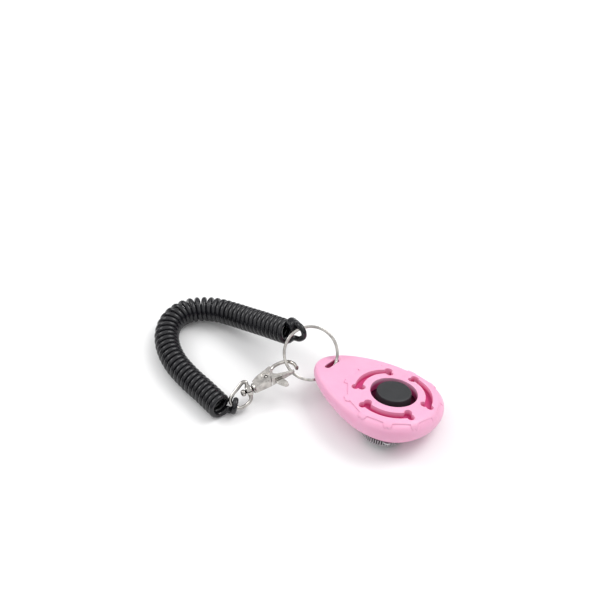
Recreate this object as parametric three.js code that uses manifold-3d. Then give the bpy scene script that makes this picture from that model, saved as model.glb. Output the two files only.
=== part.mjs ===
// Clicker trainer on a coiled wrist strap: an egg-shaped clicker with a button and a sound dial,
// a split ring through its narrow end, a swivel snap hook on the ring, and a curly wrist cord.
// Millimetres, +Z up, +X along the clicker from its narrow end to its wide end.
import * as THREE from 'three';
import { mergeVertices } from 'three/addons/utils/BufferGeometryUtils.js';
import Module from 'manifold-3d';

const wasm = await Module();
wasm.setup();

// ---------------------------------------------------------------- driving dimensions
const DEG = Math.PI / 180;
const GAP = 0.3;                    // clearance between pieces that touch

// clicker body, in its own frame: origin at the middle of the button well, on the face
const BODY_LENGTH = 63;
const BODY_WIDTH = 45;              // before the egg terms below
const BODY_CENTRE_X = -9.3;
const EGG_TAPER = 0.25;
const EGG_FULLNESS = 0.078;
const FACE_DOME_RADIUS = 100;
const NOSE_DROP = 2.8;              // how far the face falls towards the narrow end
const NOSE_THICKNESS = 0.38;        // thickness there, as a part of the full thickness
const NOSE_TAPER_LENGTH = 30;
const FACE_HEIGHT = 16.5;           // well centre above the surface it lies on
const BODY_ROLL = -12.3 * DEG;
const BODY_PITCH = -2.2 * DEG;
const PARTING_Z = -10.7;
const FLOOR_Z = -12.2;              // inside face of the bottom shell
const WALL = 1.9;
const FACE_THICKNESS = 4.0;
const BODY_SEGMENTS = 44;

// face details
const WELL_RADIUS = 10.45;
const PLATE_LIFT = 0.6;
const CHAIN_RADIUS = 21.1;
const CHAIN_BONES = 11;
const CHAIN_START = -127 * DEG;
const CHAIN_KNOB_RADIUS = 1.5;
const POCKET_RADIUS = 15.6;
const POCKET_WIDTH = 3.2;
const POCKET_DEPTH = 2.7;
const POCKET_HALF_SPAN = 37 * DEG;
const POCKET_LOBE_RADIUS = 1.7;
const POCKET_LOBE_OFFSET = 1.9;
const POCKET_ANGLES = [-68 * DEG, 52 * DEG, 172 * DEG];
const SLOT_X = -33.75;
const SLOT_WIDTH = 3.4;
const SLOT_LENGTH = 9.4;

// button, reed and dial
const BUTTON_RADIUS = 7.7;
const BUTTON_TOP_Z = 1;
const FLANGE_RADIUS = 12.2;
const FLANGE_TOP_Z = -5.1;
const FLANGE_THICKNESS = 1;
const REED_TOP_Z = -8.2;
const REED_THICKNESS = 0.4;
const REED_HALF_WIDTH = 4;
const REED_FREE_X = -6;
const CLAMP_X = 13.3;
const REED_END_X = 18.2;
const REED_SCREW_X = 15.8;
const DIAL_X = 2.2;
const DIAL_Y = -8.2;
const DIAL_RADIUS = 9.3;
const DIAL_TOP_Z = -14.2;
const DIAL_BOTTOM_Z = -16.75;
const DIAL_TEETH = 52;
const DIAL_PORT_RADIUS = 4.9;
const SCREW_PLACES = [[-20, 0], [10, 16.2], [10, -16.6]];

// split ring: two turns of flat wire
const RING_CENTRE = new THREE.Vector3(-43.75, -2.9, 15.4);
const RING_MEAN_RADIUS = 11.95;
const RING_WIRE_WIDTH = 1.5;
const RING_WIRE_HEIGHT = 0.8;
const RING_PITCH = 0.9;
const RING_TURNS = 1.94;
const RING_ACROSS = new THREE.Vector3(0.7133, 0.7009, 0);
const RING_UP = new THREE.Vector3(-0.5084, 0.5174, 0.6884);

// snap hook: its own frame has +X from the neck to the bow, +Y towards the bow's side
const HOOK_HEADING = 62.4 * DEG;
const HOOK_RISE = 10.5 * DEG;
const HOOK_ROLL = 0;
const HOOK_RING_ANGLE = 206 * DEG;  // where on the ring the hook hangs
const HOOK_MOUTH = new THREE.Vector3(20.55, 3.05, 0);
const HOOK_THICKNESS = 4.4;
const GATE_TIP_THICKNESS = 1.3;
const GATE_PIVOT = [9.4, 1.5];

// wrist cord
const COIL_RADIUS = 5.75;
const CORD_DIAMETER = 2.5;
const UPPER_LOOP_CENTRE = new THREE.Vector3(-53.25, -2.7, 21.8);
const UPPER_LOOP_AXIS = new THREE.Vector3(0.081, -0.983, 0.161);
const UPPER_LOOP_RADIUS = 3.35;
const LOWER_LOOP_ON_EYE = new THREE.Vector3(-8.6, -3.5, 0.03);
const LOWER_LOOP_AXIS = new THREE.Vector3(0.81, 0.53, -0.2);
const LOWER_LOOP_RADIUS = 2.7;

// ---------------------------------------------------------------- helpers
function material(colour, roughness, metalness) {
  return new THREE.MeshStandardMaterial({ color: colour, roughness, metalness });
}

const PINK = () => material(0xf7a6cf, 0.45, 0);
const BLACK_PLASTIC = () => material(0x2b2c2e, 0.5, 0);
const BLACK_CORD = () => material(0x18181b, 0.35, 0);
const PALE_PLASTIC = () => material(0xe6e2e4, 0.4, 0);
const NICKEL = () => material(0xd0cdc8, 0.22, 1);
const STEEL = () => material(0xb4b4b6, 0.3, 1);

function toSolid(geometry) {
  const bare = geometry.clone();
  bare.deleteAttribute('normal');
  bare.deleteAttribute('uv');
  const merged = mergeVertices(bare, 1e-5);
  const index = merged.index;
  return new wasm.Manifold(new wasm.Mesh({
    numProp: 3,
    vertProperties: new Float32Array(merged.attributes.position.array),
    triVerts: new Uint32Array(index.array),
  }));
}

function toGeometry(solid) {
  const mesh = solid.getMesh();
  const geometry = new THREE.BufferGeometry();
  geometry.setAttribute('position', new THREE.BufferAttribute(mesh.vertProperties, 3));
  geometry.setIndex(new THREE.BufferAttribute(mesh.triVerts, 1));
  geometry.computeVertexNormals();
  return geometry;
}

function named(name, shape, look) {
  const geometry = shape.isBufferGeometry ? shape : toGeometry(shape);
  const mesh = new THREE.Mesh(geometry, look);
  mesh.name = name;
  return mesh;
}

// upright cylinder from zLow to zHigh
function post(radius, zLow, zHigh, x = 0, y = 0, sides = 24) {
  const geometry = new THREE.CylinderGeometry(radius, radius, zHigh - zLow, sides);
  geometry.rotateX(Math.PI / 2);
  geometry.translate(x, y, (zLow + zHigh) / 2);
  return toSolid(geometry);
}

function block(xLow, xHigh, yLow, yHigh, zLow, zHigh) {
  const geometry = new THREE.BoxGeometry(xHigh - xLow, yHigh - yLow, zHigh - zLow);
  geometry.translate((xLow + xHigh) / 2, (yLow + yHigh) / 2, (zLow + zHigh) / 2);
  return toSolid(geometry);
}

// upright prism of a flat shape
function prism(shape, zLow, zHigh, curveSegments = 12) {
  const geometry = new THREE.ExtrudeGeometry(shape, {
    depth: zHigh - zLow, bevelEnabled: false, curveSegments,
  });
  geometry.translate(0, 0, zLow);
  return toSolid(geometry);
}

// solid of revolution about Z from [radius, z] points listed from the bottom up
function turned(points, sides = 48) {
  const profile = points.map(([radius, z]) => new THREE.Vector2(radius, z));
  const geometry = new THREE.LatheGeometry(profile, sides);
  geometry.rotateX(Math.PI / 2);
  return geometry;
}

function roundSection(radius, sides) {
  const shape = new THREE.Shape();
  for (let i = 0; i < sides; i += 1) {
    const turn = (i / sides) * 2 * Math.PI;
    const x = radius * Math.cos(turn);
    const y = radius * Math.sin(turn);
    if (i === 0) shape.moveTo(x, y);
    else shape.lineTo(x, y);
  }
  return shape;
}

function swept(section, path, steps) {
  return new THREE.ExtrudeGeometry(section, {
    steps, extrudePath: path, curveSegments: 1, bevelEnabled: false,
  });
}

// a screw that points up, its head's underside at z = 0
function screwGeometry(headRadius, headHeight, shankRadius, shankLength) {
  return turned([
    [0, -headHeight], [headRadius * 0.8, -headHeight], [headRadius, -headHeight * 0.7],
    [headRadius, 0], [shankRadius, 0], [shankRadius, shankLength - 0.5],
    [0, shankLength],
  ], 14);
}

// ---------------------------------------------------------------- clicker body surface
function faceZ(x, y) {
  const slope = THREE.MathUtils.clamp((-x - 11) / 29.8, 0, 1.2);
  const lengthwise = x > 0 ? (x * x) / (2 * FACE_DOME_RADIUS) : 0;
  return -NOSE_DROP * slope ** 1.6 - (y * y) / (2 * FACE_DOME_RADIUS) - lengthwise;
}

function thicknessAt(x) {
  const noseX = BODY_CENTRE_X - BODY_LENGTH / 2;
  const along = THREE.MathUtils.smoothstep(x, noseX, noseX + NOSE_TAPER_LENGTH);
  return NOSE_THICKNESS + (1 - NOSE_THICKNESS) * along;
}

// point on the egg outline and its outward direction
function outlineAt(turn) {
  const c = Math.cos(turn);
  const s = Math.sin(turn);
  const fullness = 1 + EGG_TAPER * c + EGG_FULLNESS * c * c;
  const x = (BODY_LENGTH / 2) * c;
  const y = (BODY_WIDTH / 2) * s * fullness;
  const dx = -(BODY_LENGTH / 2) * s;
  const dy = (BODY_WIDTH / 2) * (c * fullness - s * s * (EGG_TAPER + 2 * EGG_FULLNESS * c));
  const length = Math.hypot(dx, dy);
  return { x: x + BODY_CENTRE_X, y, nx: dy / length, ny: -dx / length };
}

// rows from the face to the underside: [inset from the outline, depth under the face's edge]
const OUTER_ROWS = [
  [4.5, 0], [3.0, 0.2], [1.8, 0.8], [0.8, 1.9], [0.2, 3.2], [0, 4.8], [0.15, 6.2],
  [0.8, 7.8], [2.0, 9.2], [3.8, 10.4], [7, 11.5], [11, 12.1],
];
const CAVITY_ROWS = [
  [7, FACE_THICKNESS], [3.2, FACE_THICKNESS + 0.3], [2.2, FACE_THICKNESS + 1.2], [WALL, 6.4],
  [2.3, 8], [3.4, 9.5], [5.2, 10.6], [8, 10.9],
];

// a sphere's rows and columns laid on to the body's rows and outline
function eggSolid(rows, lift, underZ) {
  const faceShares = [0, 0.35, 0.7, 0.9];
  const underShares = [0.7, 0.35, 0];
  const rowCount = faceShares.length + rows.length + underShares.length - 1;
  const geometry = new THREE.SphereGeometry(1, BODY_SEGMENTS, rowCount);
  const position = geometry.attributes.position;
  for (let row = 0; row <= rowCount; row += 1) {
    for (let column = 0; column <= BODY_SEGMENTS; column += 1) {
      const edge = outlineAt((column % BODY_SEGMENTS) / BODY_SEGMENTS * 2 * Math.PI);
      const scale = thicknessAt(edge.x);
      const last = rows[rows.length - 1];
      const onFace = row < faceShares.length;
      const under = row - faceShares.length - rows.length;
      const [inset, depth] = onFace ? rows[0] : under >= 0 ? last : rows[row - faceShares.length];
      const share = onFace ? faceShares[row] : under >= 0 ? underShares[under] : 1;
      const edgeX = edge.x - edge.nx * inset * scale;
      const edgeY = edge.y - edge.ny * inset * scale;
      const x = BODY_CENTRE_X + (edgeX - BODY_CENTRE_X) * share;
      const y = edgeY * share;
      let z = faceZ(x, y) - rows[0][1] + lift;
      if (!onFace) {
        const crownX = edge.x - edge.nx * 4.5 * scale;
        const crownY = edge.y - edge.ny * 4.5 * scale;
        const edgeZ = faceZ(crownX, crownY) - depth * scale + lift;
        z = underZ + (edgeZ - underZ) * share ** 1.6;
      }
      position.setXYZ(row * (BODY_SEGMENTS + 1) + column, x, y, z);
    }
  }
  return toSolid(geometry);
}

// ---------------------------------------------------------------- shells
function pocketShape(middle) {
  const inner = POCKET_RADIUS - POCKET_WIDTH / 2;
  const outer = POCKET_RADIUS + POCKET_WIDTH / 2;
  const shape = new THREE.Shape();
  shape.absarc(0, 0, outer, middle - POCKET_HALF_SPAN, middle + POCKET_HALF_SPAN, false);
  shape.absarc(0, 0, inner, middle + POCKET_HALF_SPAN, middle - POCKET_HALF_SPAN, true);
  shape.closePath();
  return shape;
}

function bonePocket(middle) {
  let pocket = prism(pocketShape(middle), -8, 3, 8);
  for (const end of [-1, 1]) {
    for (const side of [-1, 1]) {
      const radius = POCKET_RADIUS + side * POCKET_LOBE_OFFSET;
      const turn = middle + end * (POCKET_HALF_SPAN + 2 * DEG);
      const lobe = post(POCKET_LOBE_RADIUS, -8, 3,
        radius * Math.cos(turn), radius * Math.sin(turn), 10);
      pocket = pocket.add(lobe);
    }
  }
  return pocket;
}

function chainPlate() {
  const shape = new THREE.Shape();
  for (let i = 0; i < CHAIN_BONES; i += 1) {
    const turn = CHAIN_START + (i / CHAIN_BONES) * 2 * Math.PI;
    const x = CHAIN_RADIUS * Math.cos(turn);
    const y = CHAIN_RADIUS * Math.sin(turn);
    if (i === 0) shape.moveTo(x, y);
    else shape.lineTo(x, y);
  }
  let plate = prism(shape, -6, 3);
  for (let i = 0; i < CHAIN_BONES; i += 1) {
    const turn = CHAIN_START + (i / CHAIN_BONES) * 2 * Math.PI;
    plate = plate.add(post(CHAIN_KNOB_RADIUS, -6, 3,
      CHAIN_RADIUS * Math.cos(turn), CHAIN_RADIUS * Math.sin(turn), 9));
  }
  return plate;
}

function slotShape() {
  const half = SLOT_LENGTH / 2 - SLOT_WIDTH / 2;
  const shape = new THREE.Shape();
  shape.absarc(SLOT_X, half, SLOT_WIDTH / 2, 0, Math.PI, false);
  shape.absarc(SLOT_X, -half, SLOT_WIDTH / 2, Math.PI, 2 * Math.PI, false);
  shape.closePath();
  return shape;
}

const body = eggSolid(OUTER_ROWS, 0, -13.7);
const cavity = eggSolid(CAVITY_ROWS, 0, FLOOR_Z).intersect(block(-26, 30, -30, 30, FLOOR_Z, 5));
const slot = prism(slotShape(), -20, 5, 6).add(block(-36.3, -31.6, -6, 4.6, -20, -2.9));

function topShell() {
  const raisedFace = eggSolid(OUTER_ROWS, PLATE_LIFT, -13.7).intersect(chainPlate());
  let shell = body.intersect(block(-60, 40, -40, 40, PARTING_Z, 10)).add(
    raisedFace.intersect(block(-60, 40, -40, 40, -5, 10)));
  const sunkFace = eggSolid(OUTER_ROWS, -POCKET_DEPTH, -13.7);
  const pockets = POCKET_ANGLES.map((middle) => bonePocket(middle));
  for (const pocket of pockets) shell = shell.subtract(pocket.subtract(sunkFace));
  shell = shell.subtract(cavity).subtract(slot).subtract(post(WELL_RADIUS, -9, 5, 0, 0, 40));
  for (const [x, y] of SCREW_PLACES) {
    shell = shell.add(post(2.5, PARTING_Z, -3.5, x, y, 16).intersect(body));
  }
  for (const [x, y] of SCREW_PLACES) shell = shell.subtract(post(1.2, -12, -5.6, x, y, 12));
  return shell;
}

function bottomShell() {
  let shell = body.intersect(block(-60, 40, -40, 40, -20, PARTING_Z - GAP)).subtract(cavity);
  for (const [x, y] of SCREW_PLACES) {
    shell = shell.add(post(2.5, -12.6, PARTING_Z - GAP, x, y, 16));
  }
  shell = shell.add(block(CLAMP_X, REED_END_X, -4, 4, -12.6, REED_TOP_Z - REED_THICKNESS - GAP));
  for (const [x, y] of SCREW_PLACES) {
    shell = shell.subtract(post(2.2, -20, -11.7, x, y, 20)).subtract(post(1.2, -20, -9, x, y, 12));
  }
  shell = shell.subtract(post(1.2, -11.9, 0, REED_SCREW_X, 0, 12));
  shell = shell.subtract(post(2.5, -20, -10, DIAL_X, DIAL_Y, 24));
  for (let i = 0; i < 3; i += 1) {
    const turn = (i * 120 + 90) * DEG;
    shell = shell.subtract(post(1.2, -20, -10, DIAL_X + DIAL_PORT_RADIUS * Math.cos(turn),
      DIAL_Y + DIAL_PORT_RADIUS * Math.sin(turn), 14));
  }
  return shell;
}

function buttonCap() {
  return turned([
    [0, REED_TOP_Z + GAP], [1.2, REED_TOP_Z + GAP], [1.2, FLANGE_TOP_Z - FLANGE_THICKNESS],
    [FLANGE_RADIUS, FLANGE_TOP_Z - FLANGE_THICKNESS], [FLANGE_RADIUS, FLANGE_TOP_Z],
    [BUTTON_RADIUS + 0.2, FLANGE_TOP_Z], [BUTTON_RADIUS, BUTTON_TOP_Z - 0.6],
    [BUTTON_RADIUS - 0.15, BUTTON_TOP_Z - 0.25], [BUTTON_RADIUS - 0.6, BUTTON_TOP_Z - 0.05],
    [0, BUTTON_TOP_Z],
  ], 48);
}

function clickReed() {
  const shape = new THREE.Shape();
  shape.moveTo(REED_FREE_X + 1.5, -REED_HALF_WIDTH);
  shape.lineTo(REED_END_X, -REED_HALF_WIDTH + 0.4);
  shape.lineTo(REED_END_X, REED_HALF_WIDTH - 0.4);
  shape.lineTo(REED_FREE_X + 1.5, REED_HALF_WIDTH);
  shape.lineTo(REED_FREE_X, REED_HALF_WIDTH - 1.5);
  shape.lineTo(REED_FREE_X, -REED_HALF_WIDTH + 1.5);
  shape.closePath();
  const hole = new THREE.Path();
  hole.absarc(REED_SCREW_X, 0, 1.15, 0, 2 * Math.PI, false);
  shape.holes.push(hole);
  return prism(shape, REED_TOP_Z - REED_THICKNESS, REED_TOP_Z, 8);
}

function reedClamp() {
  const zLow = REED_TOP_Z + GAP;
  return block(CLAMP_X, REED_END_X - 0.4, -3.4, 3.4, zLow, zLow + 0.8)
    .subtract(post(1.15, zLow - 1, zLow + 2, REED_SCREW_X, 0, 12));
}

function volumeDial() {
  const shape = new THREE.Shape();
  const steps = DIAL_TEETH * 2;
  for (let i = 0; i < steps; i += 1) {
    const turn = (i / steps) * 2 * Math.PI;
    const radius = DIAL_RADIUS - (i % 2) * 0.6;
    const x = radius * Math.cos(turn);
    const y = radius * Math.sin(turn);
    if (i === 0) shape.moveTo(x, y);
    else shape.lineTo(x, y);
  }
  let dial = prism(shape, DIAL_BOTTOM_Z, DIAL_TOP_Z).add(post(2.1, DIAL_TOP_Z - 0.5, -12.2, 0, 0, 24));
  for (let i = 0; i < 3; i += 1) {
    const turn = (i * 120 + 90) * DEG;
    dial = dial.subtract(post(1.2, -20, -13, DIAL_PORT_RADIUS * Math.cos(turn),
      DIAL_PORT_RADIUS * Math.sin(turn), 14));
  }
  return dial.subtract(post(1.0, -15.5, -10, 0, 0, 12));
}

// ---------------------------------------------------------------- split ring
class HelixCurve extends THREE.Curve {
  constructor(radius, pitch, turns) {
    super();
    this.radius = radius;
    this.pitch = pitch;
    this.turns = turns;
  }

  getPoint(share) {
    const turn = share * this.turns * 2 * Math.PI;
    return new THREE.Vector3(this.radius * Math.cos(turn), this.radius * Math.sin(turn),
      this.pitch * this.turns * (share - 0.5));
  }
}

function splitRing() {
  const w = RING_WIRE_WIDTH / 2;
  const h = RING_WIRE_HEIGHT / 2;
  const section = new THREE.Shape();
  section.moveTo(-w, -h * 0.4);
  for (const [x, y] of [[-w * 0.6, -h], [w * 0.6, -h], [w, -h * 0.4], [w, h * 0.4],
    [w * 0.6, h], [-w * 0.6, h], [-w, h * 0.4]]) section.lineTo(x, y);
  section.closePath();
  return swept(section, new HelixCurve(RING_MEAN_RADIUS, RING_PITCH, RING_TURNS), 66);
}

const ringNormal = new THREE.Vector3().crossVectors(RING_ACROSS, RING_UP);
const ringFrame = new THREE.Matrix4().makeBasis(RING_ACROSS, RING_UP, ringNormal)
  .setPosition(RING_CENTRE);

function ringPoint(turn) {
  return new THREE.Vector3(RING_MEAN_RADIUS * Math.cos(turn), RING_MEAN_RADIUS * Math.sin(turn), 0)
    .applyMatrix4(ringFrame);
}

// ---------------------------------------------------------------- snap hook
const hookTurn = new THREE.Euler(HOOK_ROLL, -HOOK_RISE, HOOK_HEADING, 'ZYX');
const hookFrame = new THREE.Matrix4().makeRotationFromEuler(hookTurn);
hookFrame.setPosition(ringPoint(HOOK_RING_ANGLE).sub(HOOK_MOUTH.clone().applyMatrix4(hookFrame)));

function alongX(solid) {
  const geometry = toGeometry(solid);
  geometry.rotateY(Math.PI / 2);
  return toSolid(geometry);
}

function hookBody() {
  const base = new THREE.Shape();
  base.moveTo(2.9, -1.5);
  base.lineTo(10.6, -1.5);
  base.lineTo(11.2, 0.2);
  base.lineTo(11.6, 2.4);
  base.quadraticCurveTo(12.1, 3.7, 13.6, 4.9);
  base.lineTo(13.0, 6.3);
  base.quadraticCurveTo(10.6, 5.5, 8.4, 4.8);
  base.quadraticCurveTo(5.6, 4.2, 2.9, 2.3);
  base.closePath();
  const half = HOOK_THICKNESS / 2;
  const plate = new THREE.ExtrudeGeometry(base, {
    depth: HOOK_THICKNESS - 0.8, bevelEnabled: true, bevelSize: 0.3, bevelThickness: 0.4,
    bevelOffset: -0.3, bevelSegments: 1, curveSegments: 6,
  });
  plate.translate(0, 0, -half + 0.4);
  const bowPath = new THREE.CatmullRomCurve3([
    new THREE.Vector3(12.1, 4.9, 0), new THREE.Vector3(15.1, 6.7, 0),
    new THREE.Vector3(19.1, 6.75, 0), new THREE.Vector3(22.1, 5.4, 0),
    new THREE.Vector3(23.6, 2.9, 0), new THREE.Vector3(23.75, 0.2, 0),
  ]);
  const bow = swept(roundSection(0.85, 10), bowPath, 20);
  const lip = post(0.8, -1.4, 1.4, 23.7, 0.75, 14);
  const neck = alongX(post(1.7, 1.6, 4.4, 0, 0, 18).add(post(2.4, 1.7, 2.9, 0, 0, 20)));
  let hook = toSolid(plate).add(toSolid(bow)).add(lip).add(neck);
  const gateRoom = block(7.3, 14.2, -0.6, 3.4, -1.2, 1.2);
  hook = hook.subtract(gateRoom);
  hook = hook.subtract(post(0.95, -3, 3, GATE_PIVOT[0], GATE_PIVOT[1], 16));
  const studHole = alongX(post(1.15, 0, 3.4, 0, 0, 16));
  return hook.subtract(studHole);
}

function hookGate() {
  const lever = new THREE.Shape();
  lever.moveTo(11.1, -1.45);
  lever.lineTo(21.8, -1.25);
  lever.lineTo(22.15, -0.8);
  lever.lineTo(22.05, -0.25);
  lever.lineTo(18.1, 0.2);
  lever.lineTo(14.3, 0.95);
  lever.lineTo(12.35, 2.1);
  lever.lineTo(12, 1.9);
  lever.closePath();
  const taper = (HOOK_THICKNESS - GATE_TIP_THICKNESS) / 11;
  const slab = new THREE.ExtrudeGeometry(lever, { depth: 2, bevelEnabled: false });
  const corner = slab.attributes.position;
  for (let i = 0; i < corner.count; i += 1) {
    const half = (HOOK_THICKNESS - taper * (corner.getX(i) - 11)) / 2;
    corner.setZ(i, corner.getZ(i) > 1 ? half : -half);
  }
  const tongue = new THREE.Shape();
  tongue.moveTo(9, 0.15);
  tongue.lineTo(11.2, 0);
  tongue.lineTo(12, -0.9);
  tongue.lineTo(13.2, -0.9);
  tongue.lineTo(13.2, 1.2);
  tongue.lineTo(10.2, 2.75);
  tongue.closePath();
  const tab = new THREE.Shape();
  tab.moveTo(12.2, -1.2);
  tab.lineTo(13.2, -3.6);
  tab.lineTo(15.2, -6.2);
  tab.quadraticCurveTo(16.8, -6.8, 17, -4.9);
  tab.lineTo(15.8, -1.2);
  tab.closePath();
  return toSolid(slab).add(prism(tongue, -0.9, 0.2))
    .add(post(1.5, -0.9, 0.2, GATE_PIVOT[0], GATE_PIVOT[1], 18)).add(prism(tab, -1, 0.4, 6))
    .subtract(post(0.95, -3, 3, GATE_PIVOT[0], GATE_PIVOT[1], 16));
}

function gateSpring() {
  const path = new HelixCurve(1.3, 0.2, 0.9);
  const geometry = swept(roundSection(0.1, 6), path, 24);
  geometry.translate(GATE_PIVOT[0], GATE_PIVOT[1], 0.7);
  return geometry;
}

function swivelStud() {
  const geometry = turned([
    [0, -3.9], [0.9, -3.8], [1.5, -3.2], [1.6, -2.4], [1.3, -1.9], [0.8, -1.7], [0.8, 3.1], [0, 3.1],
  ], 18);
  geometry.rotateY(Math.PI / 2);
  return geometry;
}

// the swivel eye is a flat loop of wire with a collar round the stud
const EYE_TURN = 44.5 * DEG;
const EYE_LOOP = [
  [0, 2.2], [0.2, 3.9], [-1, 4.4], [-4.6, 2.75], [-8, 0.95], [-9.4, -0.6], [-9.45, -2.1],
  [-8.7, -3.7], [-7.4, -5.1], [-5.7, -5.6], [-3, -5.2], [-1, -4.1], [0, -2.2],
];

function swivelEye() {
  const path = new THREE.CatmullRomCurve3(
    EYE_LOOP.map(([x, y]) => new THREE.Vector3(x, y, 0)), false, 'centripetal');
  const wire = toSolid(swept(roundSection(0.75, 8), path, 48));
  const collar = post(2.5, -1.3, 1.3, 0, 0, 20).subtract(post(1.15, -3, 3, 0, 0, 16));
  return wire.add(alongX(collar)).subtract(alongX(post(1.15, -3, 3, 0, 0, 16)));
}

const hookGroup = new THREE.Group();
hookFrame.decompose(hookGroup.position, hookGroup.quaternion, hookGroup.scale);

// ---------------------------------------------------------------- wrist cord
const COIL_ROUTE = [
  [-61.9, -45.95, 5.8], [-72.2, -43.7, 5.8], [-82.9, -41.7, 5.8], [-93.8, -38.4, 5.8],
  [-102.8, -33.4, 5.8], [-109.6, -26.8, 5.8], [-113.2, -18.8, 5.8], [-112.5, -10.9, 5.8],
  [-108, -5, 5.9], [-101.3, -1.6, 6.8], [-92.3, -0.5, 8.7], [-83, -0.3, 11],
  [-73.8, -0.3, 13.6], [-65.4, -0.5, 15.9], [-60.4, -0.7, 17.4],
];

function coilTube() {
  const path = new THREE.CatmullRomCurve3(
    COIL_ROUTE.map(([x, y, z]) => new THREE.Vector3(x, y, z)), false, 'centripetal');
  return swept(roundSection(COIL_RADIUS, 10), path, 44);
}

// a ring of cord; its axis is given as a direction
function loopRing(name, centre, axis, radius) {
  const geometry = new THREE.TorusGeometry(radius, CORD_DIAMETER / 2, 10, 24);
  const loop = named(name, geometry, BLACK_CORD());
  loop.quaternion.setFromUnitVectors(new THREE.Vector3(0, 0, 1), axis.normalize());
  loop.position.copy(centre);
  return loop;
}

// ---------------------------------------------------------------- assembly
// origin: on the floor, under the middle of the clicker, ring and hook together
const clicker = new THREE.Group();
clicker.position.set(19.015, 10.2, 0.034);
const housing = new THREE.Group();
housing.rotation.set(BODY_ROLL, BODY_PITCH, 0, 'YXZ');
housing.position.set(0, 0, FACE_HEIGHT);
clicker.add(housing);

housing.add(named('top_shell', topShell(), PINK()));
housing.add(named('bottom_shell', bottomShell(), PINK()));
housing.add(named('button_cap', buttonCap(), BLACK_PLASTIC()));
housing.add(named('click_reed', clickReed(), STEEL()));
housing.add(named('reed_clamp', reedClamp(), STEEL()));

const reedScrew = named('reed_screw', screwGeometry(1.6, 0.6, 0.8, 4.2), STEEL());
reedScrew.rotation.set(Math.PI, 0, 0);
reedScrew.position.set(REED_SCREW_X, 0, REED_TOP_Z + 2 * GAP + 0.8);
housing.add(reedScrew);

SCREW_PLACES.forEach(([x, y], i) => {
  const screw = named(`housing_screw_${i + 1}`, screwGeometry(1.8, 0.8, 0.8, 5.6), STEEL());
  screw.position.set(x, y, -12);
  housing.add(screw);
});

const dial = named('volume_dial', volumeDial(), PALE_PLASTIC());
dial.position.set(DIAL_X, DIAL_Y, 0);
housing.add(dial);
const washer = post(3.4, -11.9, -11.3, 0, 0, 24).subtract(post(1.0, -20, 0, 0, 0, 12));
const retainer = named('dial_retainer', washer, STEEL());
retainer.position.set(DIAL_X, DIAL_Y, 0);
housing.add(retainer);
const dialScrew = named('dial_screw', screwGeometry(1.5, 0.7, 0.65, 3.6), STEEL());
dialScrew.rotation.set(Math.PI, 0, 0);
dialScrew.position.set(DIAL_X, DIAL_Y, -11);
housing.add(dialScrew);

const ring = named('split_ring', splitRing(), STEEL());
ringFrame.decompose(ring.position, ring.quaternion, ring.scale);
clicker.add(ring);

clicker.add(hookGroup);
hookGroup.add(named('hook_body', hookBody(), NICKEL()));
hookGroup.add(named('hook_gate', hookGate(), NICKEL()));
const pin = post(0.6, -HOOK_THICKNESS / 2, HOOK_THICKNESS / 2, GATE_PIVOT[0], GATE_PIVOT[1], 14);
hookGroup.add(named('gate_pin', pin, NICKEL()));
hookGroup.add(named('gate_spring', gateSpring(), STEEL()));
hookGroup.add(named('swivel_stud', swivelStud(), NICKEL()));
const eye = named('swivel_eye', swivelEye(), NICKEL());
eye.rotation.set(EYE_TURN, 0, 0);
hookGroup.add(eye);

clicker.add(named('coil_cord', coilTube(), BLACK_CORD()));
clicker.add(loopRing('coil_upper_loop', UPPER_LOOP_CENTRE, UPPER_LOOP_AXIS, UPPER_LOOP_RADIUS));
hookGroup.updateMatrix();
eye.updateMatrix();
eye.matrixWorld.multiplyMatrices(hookGroup.matrix, eye.matrix);
const lowerCentre = LOWER_LOOP_ON_EYE.clone().applyMatrix4(eye.matrixWorld);
clicker.add(loopRing('coil_lower_loop', lowerCentre, LOWER_LOOP_AXIS, LOWER_LOOP_RADIUS));

export default clicker;
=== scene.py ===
"""Clicker trainer on a coiled wrist strap: the looks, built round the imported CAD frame."""

import math

import bmesh
import bpy
import numpy as np
from mathutils import Matrix, Vector


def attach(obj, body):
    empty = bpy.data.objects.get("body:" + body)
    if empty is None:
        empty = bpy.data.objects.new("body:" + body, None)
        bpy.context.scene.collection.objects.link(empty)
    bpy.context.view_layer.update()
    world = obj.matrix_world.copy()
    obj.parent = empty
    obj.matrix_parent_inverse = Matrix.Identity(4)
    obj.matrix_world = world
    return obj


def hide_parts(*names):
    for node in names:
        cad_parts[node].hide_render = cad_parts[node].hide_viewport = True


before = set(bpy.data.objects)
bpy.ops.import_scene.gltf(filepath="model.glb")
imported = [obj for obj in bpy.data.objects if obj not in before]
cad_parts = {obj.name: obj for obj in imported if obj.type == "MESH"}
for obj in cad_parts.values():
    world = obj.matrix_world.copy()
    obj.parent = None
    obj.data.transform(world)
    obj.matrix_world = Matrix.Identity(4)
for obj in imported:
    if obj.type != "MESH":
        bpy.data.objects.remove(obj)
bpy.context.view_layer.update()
MM = 0.001
SHIFT = Vector((0.019015, 0.0102, 0.000034))     # the part's origin shift, as in the CAD
SCENE = bpy.context.scene

# ------------------------------------------------------------------ camera
CAMERA_AT = Vector((0.24135, -0.36913, 0.49191)) + SHIFT
CAMERA_TARGET = Vector((-0.07909, 0.03372, 0.0)) + SHIFT
CAMERA_LENS = 89.04

camera_data = bpy.data.cameras.new("camera")
camera = bpy.data.objects.new("camera", camera_data)
SCENE.collection.objects.link(camera)
camera.location = CAMERA_AT
camera.rotation_euler = (CAMERA_TARGET - CAMERA_AT).to_track_quat("-Z", "Y").to_euler()
camera_data.sensor_width = 36.0
camera_data.lens = CAMERA_LENS
camera_data.clip_start = 0.01
camera_data.clip_end = 20.0
SCENE.camera = camera


# ------------------------------------------------------------------ mesh helpers
def link(obj):
    SCENE.collection.objects.link(obj)
    return obj


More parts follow.
